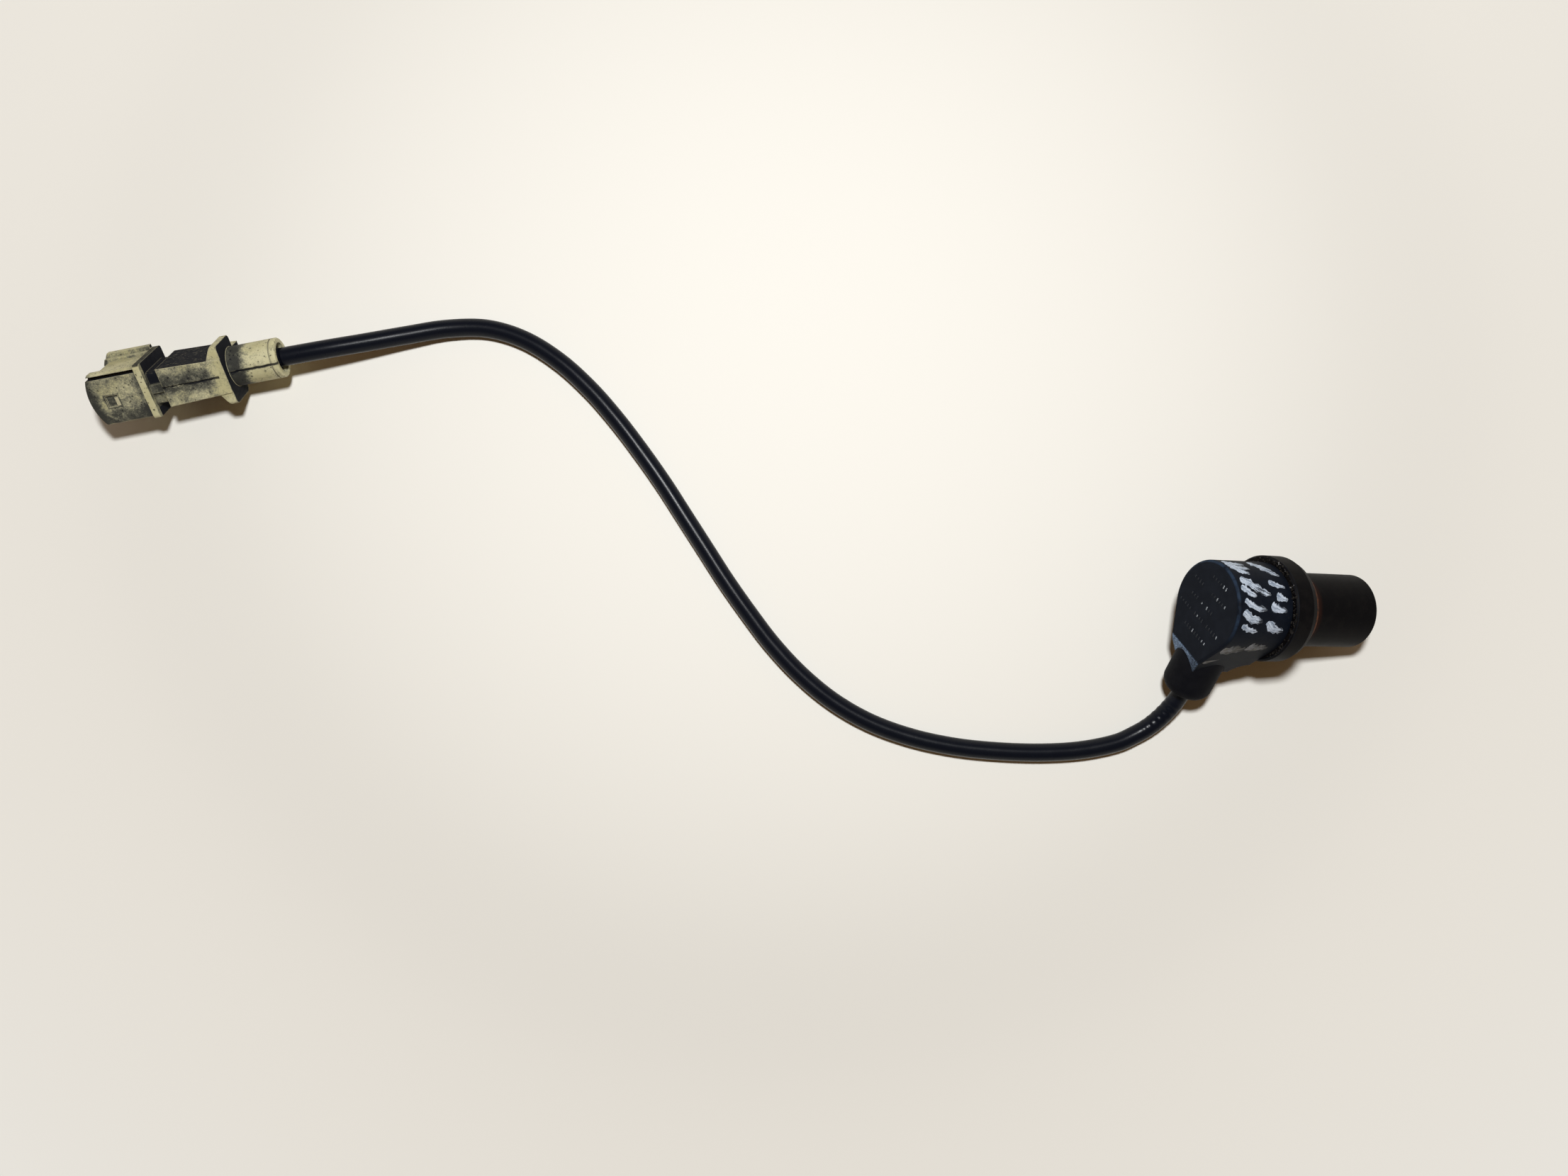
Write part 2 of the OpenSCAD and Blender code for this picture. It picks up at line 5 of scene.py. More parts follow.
import bpy
import numpy as np
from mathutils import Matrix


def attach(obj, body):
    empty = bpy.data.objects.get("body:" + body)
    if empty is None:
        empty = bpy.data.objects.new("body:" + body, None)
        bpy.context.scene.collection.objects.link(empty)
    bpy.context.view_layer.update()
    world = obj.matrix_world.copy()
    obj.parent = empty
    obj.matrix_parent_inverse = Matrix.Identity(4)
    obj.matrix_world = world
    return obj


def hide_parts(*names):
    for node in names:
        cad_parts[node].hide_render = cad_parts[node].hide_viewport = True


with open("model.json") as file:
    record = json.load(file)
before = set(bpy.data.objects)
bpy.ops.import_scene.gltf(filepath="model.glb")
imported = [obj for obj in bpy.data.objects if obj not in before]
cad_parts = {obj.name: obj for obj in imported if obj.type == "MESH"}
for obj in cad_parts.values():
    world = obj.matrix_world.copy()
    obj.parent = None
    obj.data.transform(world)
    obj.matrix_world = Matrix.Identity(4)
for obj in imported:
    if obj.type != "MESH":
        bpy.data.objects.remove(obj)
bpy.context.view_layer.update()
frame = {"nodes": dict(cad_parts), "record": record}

# Lengths are millimetres in the row's frame, and become metres where a mesh or a lamp is made
MM = 0.001
mounts = {mount["name"]: mount for mount in frame["record"]["mounts"]}
random = np.random.default_rng(11)

# The sensor's own axes: along from its head to its nose, top square to that, side level,
# boot towards the cable
HEAD_LEN = 15.6
COLLAR_LEN = 6.5
RING_SECTION = 2.4
HEAD_R = 11.2
HEAD_FLAT = 12.6
HEAD_TAPER = math.radians(27)
CORNER_SLANT = math.radians(25)
BOOT_ROLL = math.radians(36)
BOOT_AT = 6.4
BOOT_END = 26
COLLAR_R = 12.8
CABLE_D = 4.6
along = np.array(mounts["nose"]["axis"])
top = np.array([-along[2], 0, along[0]])
side = np.array([0, 1, 0])
boot = -math.cos(BOOT_ROLL) * side - math.sin(BOOT_ROLL) * top
across = np.cross(along, boot)
face = np.array(mounts["collar_seat"]["pos_m"]) / MM - (HEAD_LEN + COLLAR_LEN) * along

# The plug's own axes: rear towards the cable, width and height across its mouth
PLUG_LEN = 45.6
PLUG_ROLL = math.radians(30)
# Stations along the plug from its sleeve's end; pocket and bar are spans along and across it
SHROUD_END = -32.4
FLANGE_END = -30.8
PADS_FROM = -27.75
WING_FRONT = -13.6
WING_END = -12
LATCH_POCKET = ((-42.0, -38.5), (-2.3, 0.9))
LATCH_BAR = ((-39.55, -38.75), (-2.0, 0.05))
RAIL_GROOVE = (5.1, 5.95)
rear = -np.array(mounts["plug_mouth"]["axis"])
level = np.cross([0, 0, 1], rear)
width = math.cos(PLUG_ROLL) * level + math.sin(PLUG_ROLL) * np.array([0, 0, 1])
height = np.cross(rear, width)
sleeve_end = np.array(mounts["plug_mouth"]["pos_m"]) / MM + PLUG_LEN * rear


# Camera: straight down on the table, as the photograph was taken
CAMERA_AT = (-119.6, 6.53, 315.1)
CAMERA_TURN = math.radians(1.8)
LENS = 28.25
camera_data = bpy.data.cameras.new("camera")
camera_data.lens = LENS
camera_data.sensor_width = 36
camera_data.clip_start = 0.01
camera = bpy.data.objects.new("camera", camera_data)
camera.location = np.array(CAMERA_AT) * MM
camera.rotation_euler = (0, 0, CAMERA_TURN)
bpy.context.collection.objects.link(camera)
bpy.context.scene.camera = camera


# Shader maths as expressions

class Field:
    """A value or colour over a surface: wraps a shader socket, and arithmetic on it adds Math nodes."""

    def __init__(self, tree, socket):
        self.tree = tree
        self.socket = socket

    def node(self, kind, settings=None, inputs=None, output=0):
        """Adds a node of any kind: its settings, then its sockets' values or links; gives one output."""
        made = self.tree.nodes.new(kind)
        for name, value in (settings or {}).items():
            setattr(made, name, value)
        for name, value in (inputs or {}).items():
            if isinstance(value, Field):
                self.tree.links.new(value.socket, made.inputs[name])
            else:
                made.inputs[name].default_value = value
        return Field(self.tree, made.outputs[output])

    def math(self, operation, *values):
        return self.node("ShaderNodeMath", {"operation": operation}, dict(enumerate(values)))

    def __add__(self, other):
        return self.math("ADD", self, other)

    def __sub__(self, other):
        return self.math("SUBTRACT", self, other)

    def __rsub__(self, other):
        return self.math("SUBTRACT", other, self)

    def __mul__(self, other):
        return self.math("MULTIPLY", self, other)

    def __abs__(self):
        return self.math("ABSOLUTE", self)

    __radd__ = __add__
    __rmul__ = __mul__

    def sine(self):
        return self.math("SINE", self)

    def root(self):
        return self.math("SQRT", self)

    def both(self, other):
        """The larger of two masks."""
        return self.math("MAXIMUM", self, other)

    def between(self, low, high, blur):
        """1 between two values and 0 beyond them, with a soft change of the width blur."""
        return self.step(low - blur, low) * self.step(high + blur, high)

    def step(self, low, high):
        """0 below low, 1 above high and a smooth rise between; low above high turns it round."""
        if low > high:
            return 1 - self.step(high, low)
        return self.node("ShaderNodeMapRange", {"interpolation_type": "SMOOTHSTEP"},
                         {"Value": self, "From Min": low, "From Max": high})

    def from_point(self, point, direction):
        """Distance of a place from a point along a direction."""
        offset = self.node("ShaderNodeVectorMath", {"operation": "SUBTRACT"}, {0: self, 1: tuple(point)})
        return self.node("ShaderNodeVectorMath", {"operation": "DOT_PRODUCT"},
                         {0: offset, 1: tuple(direction)}, 1)

    def stretched(self, factors):
        return self.node("ShaderNodeVectorMath", {"operation": "MULTIPLY"}, {0: self, 1: factors})

    def noise(self, scale, detail=3.0, roughness=0.55, distortion=0.0):
        """Cloudy noise about 0.5 at a place, scale in waves to the millimetre."""
        return self.node("ShaderNodeTexNoise", None, {
            "Vector": self, "Scale": scale, "Detail": detail,
            "Roughness": roughness, "Distortion": distortion})

    def cells(self, scale):
        """Distance to the nearest of scattered points."""
        return self.node("ShaderNodeTexVoronoi", None, {"Vector": self, "Scale": scale})

    def mixed(self, first, second):
        """The first colour where this mask is 0, the second where it is 1."""
        return self.node("ShaderNodeMix", {"data_type": "RGBA"}, {0: self, 6: first, 7: second}, 2)


def rgb(red, green, blue):
    return red, green, blue, 1.0


class Finish:
    """A material with one Principled shader, its constants set on the shader's own sockets."""

    def __init__(self, name, **constants):
        self.material = bpy.data.materials.new(name)
        self.material.use_nodes = True
        self.tree = self.material.node_tree
        self.shader = self.tree.nodes["Principled BSDF"]
        for socket, value in constants.items():
            self.shader.inputs[socket.replace("_", " ")].default_value = value
        spot = self.tree.nodes.new("ShaderNodeTexCoord")
        metres = Field(self.tree, spot.outputs["Object"])
        self.place = metres.node("ShaderNodeVectorMath", {"operation": "SCALE"}, {0: metres, "Scale": 1 / MM})
        self.texture = Field(self.tree, spot.outputs["UV"])

    def set(self, socket, field):
        self.tree.links.new(field.socket, self.shader.inputs[socket])

    def stored(self, name):
        """A value that the mesh holds at its points."""
        return self.place.node("ShaderNodeAttribute", {"attribute_name": name}, output="Fac")

    def clouds(self):
        """Broad mottling in waves of about three millimetres."""
        return self.place.noise(0.35, 4)

    def dust(self):
        """Fine uneven dust."""
        return self.place.noise(1.6, 6, 0.7)

    def skin(self):
        """The fine grain of a moulded surface."""
        return self.place.noise(9, 3)

    def soft_edges(self, radius):
        """The surface's direction with its sharp edges rounded to a radius."""
        return self.place.node("ShaderNodeBevel", {"samples": 6}, {"Radius": radius * MM})

    def edges(self, radius):
        """A mask of the edges that a rounding of that radius would turn."""
        plain = self.place.node("ShaderNodeNewGeometry", output="Normal")
        same = self.place.node("ShaderNodeVectorMath", {"operation": "DOT_PRODUCT"},
                               {0: self.soft_edges(radius), 1: plain}, 1)
        return (1 - same).step(0.01, 0.2)

    def facing(self, direction):
        """1 where the surface looks along a direction, 0 where it looks across it, below 0 where away."""
        plain = self.place.node("ShaderNodeNewGeometry", output="Normal")
        return plain.from_point((0, 0, 0), direction)

    def corners(self, distance):
        """A mask of places with other surface close by, such as recesses and inner corners."""
        open_share = self.place.node("ShaderNodeAmbientOcclusion", {"samples": 8, "only_local": True},
                                     {"Distance": distance * MM}, "AO")
        return 1 - open_share

    def relief(self, field, depth, base=None):
        """Bump of a depth in millimetres on top of a base direction."""
        inputs = {"Height": field, "Distance": depth * MM}
        if base:
            inputs["Normal"] = base
        return self.place.node("ShaderNodeBump", None, inputs)


def nose_finish():
    """Brown-black moulded nylon, satin, with fine lines round it, rubbed patches, pale specks,
    a painted bluish highlight along its edges, and rust beside the ring."""
    kind = Finish("nose_nylon", Specular_IOR_Level=0.055)
    cloud = kind.place.noise(0.3, 4)
    dust = kind.dust()
    station = kind.place.from_point(face, along)
    lines = (station * 14).sine()
    past_ring = station - (HEAD_LEN + COLLAR_LEN + RING_SECTION)
    rust = past_ring.step(-RING_SECTION - 0.1, -RING_SECTION + 0.1) * past_ring.step(2.6, 1.1)
    rust = (0.3 + 1.1 * dust) * rust
    worn = (cloud + 0.3 * dust).step(0.6, 0.8)
    colour = worn.mixed(rgb(0.0022, 0.0018, 0.0022), rgb(0.005, 0.0043, 0.0042))
    # Painted highlight: the edges get a bluish grey base colour, standing in for the lamp's reflection on
    # them.
    colour = (0.7 * kind.edges(0.4)).mixed(colour, rgb(0.022, 0.034, 0.055))
    colour = rust.mixed(colour, rgb(0.024, 0.0088, 0.0055))
    speck = kind.place.cells(1.1).step(0.07, 0.04) * dust.step(0.5, 0.6)
    kind.set("Base Color", speck.mixed(colour, rgb(0.13, 0.125, 0.11)))
    kind.set("Roughness", 0.42 + 0.2 * cloud)
    kind.set("Normal", kind.relief(kind.skin() + 0.12 * lines, 0.012, kind.soft_edges(0.22)))
    return kind.material


def head_finish():
    """Bluish black nylon: faint mottling, brown dust on its side, a painted bluish highlight round the rim
    of its face, a scuffed grey corner at the boot."""
    kind = Finish("head_nylon", Specular_IOR_Level=0.07)
    cloud = kind.clouds()
    dust = kind.dust()
    to_boot = kind.place.from_point(face, boot)
    station = kind.place.from_point(face, along)
    slant = station - (to_boot - HEAD_FLAT) * math.tan(CORNER_SLANT)
    corner = to_boot.step(HEAD_FLAT - 0.5, HEAD_FLAT + 0.1) * slant.step(0.5, 0.15)
    sideways = kind.place.from_point(face, across)
    corner = corner * (1 - 0.6 * sideways.step(-1, -4))
    streaks = kind.place.stretched((1.2, 3.0, 1.2)).noise(1.4, 5, 0.7)
    scuff = streaks.step(0.38, 0.62).mixed(rgb(0.035, 0.05, 0.08), rgb(0.26, 0.38, 0.58))
    base = cloud.step(0.35, 0.7).mixed(rgb(0.0034, 0.0052, 0.0098), rgb(0.0066, 0.009, 0.0148))
    dusty = 0.5 * station.step(2.5, 8) * dust.step(0.55, 0.75)
    colour = dusty.mixed(base, rgb(0.024, 0.02, 0.016))
    from_axis = (to_boot * to_boot + sideways * sideways).root()
    # Painted highlight: a thin bluish band round the face's rounded rim, standing in for the lamp's
    # reflection there.
    painted_lip_highlight = from_axis.between(HEAD_R - 0.4, HEAD_R - 0.15, 0.35) * station.between(0.15, 0.4, 0.35)
    painted_lip_highlight = painted_lip_highlight * to_boot.step(3, -5) * cloud.step(0.32, 0.58)
    colour = (0.75 * painted_lip_highlight).mixed(colour, rgb(0.024, 0.042, 0.075))
    kind.set("Base Color", corner.mixed(colour, scuff))
    kind.set("Roughness", 0.5 + 0.16 * cloud)
    kind.set("Normal", kind.relief(kind.skin() + 0.5 * dust, 0.015, kind.soft_edges(0.3)))
    return kind.material


def ring_finish():
    """Rubber stained rusty brown by old oil and rust dust."""
    kind = Finish("ring_rubber", Specular_IOR_Level=0.12)
    dust = kind.dust()
    stain = (0.5 * kind.clouds() + 0.5 * dust).step(0.42, 0.6)
    kind.set("Base Color", stain.mixed(rgb(0.03, 0.014, 0.009), rgb(0.13, 0.046, 0.02)))
    kind.set("Roughness", 0.5 + 0.25 * dust)
    kind.set("Normal", kind.relief(dust, 0.03))
    return kind.material


def boot_finish():
    """Dull purple-black rubber with a fine skin and a little dust."""
    kind = Finish("boot_rubber", Specular_IOR_Level=0.065)
    cloud = kind.clouds()
    dust = kind.dust()
    colour = cloud.step(0.3, 0.7).mixed(rgb(0.0028, 0.003, 0.0048), rgb(0.0058, 0.006, 0.0082))
    kind.set("Base Color", (0.35 * dust.step(0.62, 0.8)).mixed(colour, rgb(0.034, 0.032, 0.032)))
    kind.set("Roughness", 0.55 + 0.2 * cloud)
    kind.set("Normal", kind.relief(kind.skin() + 0.6 * dust, 0.02, kind.soft_edges(0.2)))
    return kind.material


def cable_finish():
    """Smooth blue-black jacket, slightly glossy, with faint scuffs."""
    kind = Finish("cable_jacket", Specular_IOR_Level=0.15)
    cloud = kind.place.noise(0.22, 4)
    dust = kind.dust()
    scuff = dust.step(0.64, 0.78) * cloud.step(0.45, 0.6)
    kind.set("Base Color", (0.5 * scuff).mixed(rgb(0.0045, 0.0055, 0.0095), rgb(0.045, 0.046, 0.052)))
    kind.set("Roughness", 0.2 + 0.14 * cloud + 0.3 * scuff)
    kind.set("Normal", kind.relief(kind.skin() + dust, 0.008))
    return kind.material


def plug_finish():
    """Aged ivory nylon: grey grime in fine clouds, thickest along the seam and at the mouth; the shroud
    darker towards its low side, with a painted shadow beside the front rim; painted shade and caked grime in
    inner corners; flanks, recess, groove, latch pocket and rear faces nearly black; rims, wings, latch bar
    and edges rubbed clean."""
    kind = Finish("plug_ivory", Specular_IOR_Level=0.14)
    from_end = kind.place.from_point(sleeve_end, rear)
    up = kind.place.from_point(sleeve_end, height)
    out = kind.place.from_point(sleeve_end, width)
    cloud = kind.place.noise(0.16, 3)
    blotch = kind.place.noise(0.5, 8, 0.7, 0.4)
    spots = kind.place.noise(2.6, 5, 0.75)
    shroud = from_end.step(SHROUD_END + 0.1, SHROUD_END - 0.1)
    body = from_end.between(FLANGE_END + 0.1, WING_FRONT - 1.4, 0.3)
    recess = from_end.between(FLANGE_END, PADS_FROM, 0.1)
    lug = recess * up.step(6.3, 6.5)
    flank = body * abs(kind.facing(width)).step(0.5, 0.8)
    behind = kind.facing(rear).step(0.5, 0.8) * from_end.step(-8, -10)
    behind = behind * (1 - 0.3 * out.step(0, -6) * blotch.step(0.35, 0.6))
    sleeve_root = from_end.step(WING_END + 5, WING_END + 1.5) * from_end.step(WING_END - 0.2, WING_END + 0.1)
    groove = shroud * out.between(*RAIL_GROOVE, 0.1) * up.step(5, 5.3)
    pocket = from_end.between(*LATCH_POCKET[0], 0.3) * out.between(*LATCH_POCKET[1], 0.3) * up.step(6.6, 6.8)
    bar = from_end.between(*LATCH_BAR[0], 0.05) * out.between(*LATCH_BAR[1], 0.05) * up.step(7.1, 7.2)
    waver = 0.6 * (kind.place.noise(0.45, 2) - 0.5)
    seam = abs(out + waver).step(0.5, 0.18) * up.step(3.5, 4.2)
    seam = seam * from_end.step(PADS_FROM - 0.15, PADS_FROM + 0.05)
    seam = seam * (1 - from_end.between(WING_FRONT, WING_END, 0.2))
    seam = seam * (blotch + 0.02 * (from_end + 24)).step(0.3, 0.5)
    band = abs(out - 0.7).step(3.6, 0.8) * body * from_end.step(-13, -18)
    # The shroud's film is thicker and darker towards its low side.
    low_side = shroud * out.step(-1.5, -5)
    mouth_rim = from_end.step(3 - PLUG_LEN, 0.6 - PLUG_LEN)
    rim_end = from_end.between(SHROUD_END, FLANGE_END, 0.05) * kind.facing(width).step(0.4, 0.8)
    rim = from_end.between(SHROUD_END + 0.05, FLANGE_END - 0.05, 0.1) * (1 - behind) * (1 - rim_end)
    tips = from_end.between(WING_FRONT, WING_END, 3) * (1 - behind)
    # Painted shadow: the shroud's film is thickened in a strip next to the front flange, where the rim casts
    # a dark line.
    painted_shadow_by_rim = shroud * from_end.step(SHROUD_END - 2.2, SHROUD_END - 0.2)
    soil = 0.5 * blotch + 0.5 * spots + 0.14 * band + 0.13 * low_side + 0.2 * mouth_rim + 0.1 * painted_shadow_by_rim
    bright = (shroud * abs(kind.facing(width)).step(0.5, 0.8)).both(from_end.step(-9, -6))
    soil = soil + 0.12 * pocket + 0.25 * sleeve_root - 0.14 * rim - 0.08 * tips - 0.1 * bright - 0.02
    film = soil.step(0.36, 0.57)
    thick = soil.step(0.51, 0.67)
    ragged = 0.9 * (spots - 0.5) + 0.4 * (blotch - 0.5)
    specks = (kind.place.cells(0.55) + ragged).step(0.2, 0.08) * blotch.step(0.43, 0.5)
    specks = specks.both((kind.place.cells(1.0) + ragged).step(0.22, 0.1) * cloud.step(0.44, 0.52))
    # Painted shade: occlusion turns inner corners, such as the one under the rail, near black, with the grime
    # caked there.
    painted_corner_shade = kind.corners(1.2).step(0.3, 0.65)
    caked = recess * (1 - 0.8 * out.between(-4.2, 1.0, 0.6) * blotch.step(0.34, 0.56))
    black = caked.both(flank).both(behind).both(groove).both(painted_corner_shade)
    black = black.both(0.92 * seam).both(0.85 * specks).both(0.85 * rim_end)
    black = (black - 0.85 * lug - 0.45 * pocket) * (1 - bar)
    scratch = kind.place.stretched((0.5, 1.6, 1.6)).noise(1.5, 5, 0.75).step(0.56, 0.64)
    clean = (kind.edges(0.35) * (1 - 0.7 * recess) * (1 - 0.7 * mouth_rim) * (1 - seam)).both(bar)
    ivory = cloud.step(0.35, 0.65).mixed(rgb(0.52, 0.485, 0.27), rgb(0.625, 0.59, 0.37))
    grey = spots.step(0.35, 0.65).mixed(rgb(0.063, 0.066, 0.062), rgb(0.17, 0.172, 0.134))
    colour = (0.88 * film).mixed(ivory, grey)
    colour = (0.85 * thick).mixed(colour, rgb(0.018, 0.019, 0.02))
    dark = (0.7 * scratch * flank).mixed(rgb(0.007, 0.008, 0.012), rgb(0.2, 0.185, 0.12))
    colour = black.mixed(colour, dark)
    kind.set("Base Color", (0.8 * clean).mixed(colour, rgb(0.635, 0.59, 0.38)))
    kind.set("Roughness", 0.5 + 0.15 * film + 0.3 * black)
    kind.set("Normal", kind.relief(kind.skin() + 0.8 * spots, 0.03, kind.soft_edges(0.25)))
    return kind.material


def paint_finish():
    """Bluish white paint put on with a dry brush: bristle lines along each swipe, thinner towards its end."""
    kind = Finish("paint_white", Specular_IOR_Level=0.3)
    load = kind.stored("load")
    bristles = kind.texture.stretched((0.25, 1.5, 1)).noise(1.1, 4, 0.6)
    grain = kind.place.noise(3.5, 4, 0.7)
    gaps = kind.place.noise(0.45, 3)
    cover = (0.55 * bristles + 0.2 * grain + 0.25 * gaps + 0.2 * load).step(0.5, 0.61)
    streaky = (0.65 * bristles + 0.35 * grain).step(0.4, 0.6)
    white = streaky.mixed(rgb(0.19, 0.245, 0.33), rgb(0.63, 0.71, 0.82))
    kind.set("Base Color", cover.mixed(rgb(0.016, 0.019, 0.025), white))
    kind.set("Roughness", 0.5 + 0.2 * grain)
    kind.set("Normal", kind.relief(bristles, 0.05))
    return kind.material


def smear_finish():
    """Thin grey-olive smear of old paint and dirt, the plastic showing through."""
    kind = Finish("smear_grey", Specular_IOR_Level=0.25)
    load = kind.stored("load")
    drag = kind.texture.stretched((0.5, 0.8, 1)).noise(0.8, 6, 0.75)
    cover = 0.85 * (0.85 * drag + 0.2 * load).step(0.42, 0.72)
    hue = kind.place.noise(0.6, 3).step(0.4, 0.6).mixed(rgb(0.33, 0.35, 0.385), rgb(0.24, 0.24, 0.23))
    kind.set("Base Color", cover.mixed(rgb(0.014, 0.014, 0.013), hue))
    kind.set("Roughness", 0.55 + 0.2 * drag)
    kind.set("Normal", kind.relief(drag, 0.03))
    return kind.material


def tick_finish():
    """Raised moulded ticks as black as the head; a few have their tops rubbed pale."""
    kind = Finish("tick_nylon", Specular_IOR_Level=0.2)
    worn = kind.stored("worn")
    rough = kind.place.noise(3.5, 4, 0.7)
    pale = worn * rough.step(0.42, 0.5)
    base = rough.step(0.4, 0.6).mixed(rgb(0.008, 0.0095, 0.012), rgb(0.026, 0.03, 0.036))
    kind.set("Base Color", pale.mixed(base, rgb(0.3, 0.33, 0.36)))
    kind.set("Roughness", 0.45 + 0.2 * rough)
    kind.set("Normal", kind.relief(rough, 0.02))
    return kind.material


def crumb_finish():
    """Dry dirt: nearly all black-brown, every so often a pale grain."""
    kind = Finish("crumb_dirt", Specular_IOR_Level=0.15)
    pale = kind.place.noise(0.8, 2).step(0.62, 0.66)
    rough = kind.place.noise(4, 3, 0.7)
    dark = rough.step(0.35, 0.65).mixed(rgb(0.006, 0.0055, 0.005), rgb(0.028, 0.024, 0.02))
    kind.set("Base Color", pale.mixed(dark, rgb(0.24, 0.24, 0.24)))
    kind.set("Roughness", 0.75 + 0.15 * rough)
    kind.set("Normal", kind.relief(rough, 0.03))
    return kind.material


def plain_finish(name, colour, roughness, metallic=0.0):
    """A piece inside: one colour, a little mottled and uneven in gloss."""
    kind = Finish(name, Metallic=metallic)
    dust = kind.dust()
    darker = tuple(0.7 * part for part in colour)
    kind.set("Base Color", dust.step(0.35, 0.7).mixed(rgb(*darker), rgb(*colour)))
    kind.set("Roughness", roughness + 0.15 * kind.clouds())
    kind.set("Normal", kind.relief(kind.skin(), 0.01))
    return kind.material


NODE_FINISHES = {
    nose_finish(): ["nose_sleeve"],
    ring_finish(): ["sealing_ring"],
    head_finish(): ["head_cap"],
    boot_finish(): ["cable_boot"],
    plug_finish(): ["plug_housing"],
    plain_finish("seal_rubber", (0.02, 0.02, 0.022), 0.6): ["cable_seal"],
    plain_finish("pole_iron", (0.2, 0.18, 0.16), 0.5, 0.8): ["pole_pin"],
    plain_finish("magnet_metal", (0.4, 0.4, 0.42), 0.4, 1.0): ["magnet"],
    plain_finish("bobbin_nylon", (0.6, 0.56, 0.45), 0.5): ["coil_bobbin"],
    plain_finish("copper_wire", (0.6, 0.26, 0.12), 0.35, 1.0): ["coil_winding"],
    plain_finish("tinned_tag", (0.6, 0.59, 0.55), 0.35, 1.0): ["solder_tag_1", "solder_tag_2"],
    plain_finish("terminal_brass", (0.55, 0.45, 0.28), 0.35, 1.0): ["blade_1", "blade_2", "blade_3"],
    plain_finish("core_brown", (0.2, 0.09, 0.04), 0.5): ["head_core_2", "plug_core_1"],
    plain_finish("core_grey", (0.3, 0.28, 0.26), 0.5): ["plug_core_2"],
    plain_finish("core_white", (0.62, 0.6, 0.54), 0.5): ["head_core_1", "plug_core_3"],
}
jacket = cable_finish()
NODE_FINISHES[jacket] = ["cable_tail", "plug_cable_end"]
for finish, names in NODE_FINISHES.items():
    for name in names:
        data = frame["nodes"][name].data
        data.materials.clear()
        data.materials.append(finish)


# Meshes from whole arrays

def grid_faces(rows, columns, round_rows=False):
    """The four-sided faces of a grid of points; round_rows joins each row's last point to its first."""
    steps = columns if round_rows else columns - 1
    row, column = np.meshgrid(np.arange(rows - 1), np.arange(steps), indexing="ij")
    after = (column + 1) % columns
    corners = (row * columns + column, row * columns + after,
               (row + 1) * columns + after, (row + 1) * columns + column)
    return np.stack(corners, axis=-1).reshape(-1, 4)


def make_piece(name, points, faces, finish):
    """A smooth mesh from points in millimetres and rows of point numbers, riding with the object."""
    mesh = bpy.data.meshes.new(name)
    mesh.from_pydata((points * MM).tolist(), [], faces)
    mesh.polygons.foreach_set("use_smooth", np.ones(len(mesh.polygons), bool))
    mesh.materials.append(finish)
    piece = bpy.data.objects.new(name, mesh)
    bpy.context.collection.objects.link(piece)
    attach(piece, "root")
    return piece


def curve_through(points, steps):
    """A Catmull-Rom curve: between each two points a cubic whose slopes are the chords of the neighbours."""
    points = np.asarray(points, float)
    first = 2 * points[0] - points[1]
    last = 2 * points[-1] - points[-2]
    full = np.vstack([first, points, last])
    t = np.linspace(0, 1, steps, endpoint=False)[None, :, None]
    a, b, c, d = (full[k:len(full) - 3 + k][:, None, :] for k in range(4))
    spans = b + 0.5 * t * ((c - a) + t * ((2 * a - 5 * b + 4 * c - d) + t * (3 * (b - c) + d - a)))
    return np.vstack([spans.reshape(-1, points.shape[1]), points[-1:]])


# The cable, whose route is the one of its solid

ROUTE = [
    (-20.5, -19.2, 5.3), (-22.7, -22.5, 3.7), (-25.6, -25.5, 2.7), (-29.2, -27.9, 2.3), (-34.3, -30.3, 2.3),
    (-43, -32.3, 2.3), (-53, -33.2, 2.3), (-64, -33.2, 2.3), (-75, -32.4, 2.3), (-86, -30.4, 2.3),
    (-96.5, -27, 2.3), (-106, -22, 2.3), (-114.5, -15.5, 2.3), (-122, -8, 2.3), (-128.5, 0, 2.3),
    (-134.5, 8, 2.3), (-140, 16, 2.3), (-145.5, 24, 2.3), (-151, 32, 2.3), (-157, 40, 2.3),
    (-163.5, 48, 2.3), (-170.5, 55.5, 2.3), (-178.5, 62.3, 2.3), (-187.5, 67.5, 2.3), (-197, 70, 2.5),
    (-207, 69.5, 3.2), (-217, 67.2, 4.8), (-226.5, 64.7, 6.8), (-236, 62.3, 8.7),
]
RIPPLE_FROM = 3.0
RIPPLE_TO = 17.0
RIPPLE_PITCH = 1.9
RIPPLE_RISE = 0.055
RIPPLE_GROWS = 2.0
RIPPLE_FADES = 5.0
RIPPLE_LEAN = 0.8
CABLE_STEPS = 40
CABLE_SIDES = 28
boot_exit = face + BOOT_AT * along + BOOT_END * boot


def cable_line():
    """The cable's middle line from the boot to the plug, leaving both along their axes."""
    inside = [boot_exit - 4 * boot, boot_exit]
    end = [sleeve_end, sleeve_end - 8 * rear]
    line = curve_through(inside + ROUTE + end, CABLE_STEPS)
    return line[CABLE_STEPS:-CABLE_STEPS]


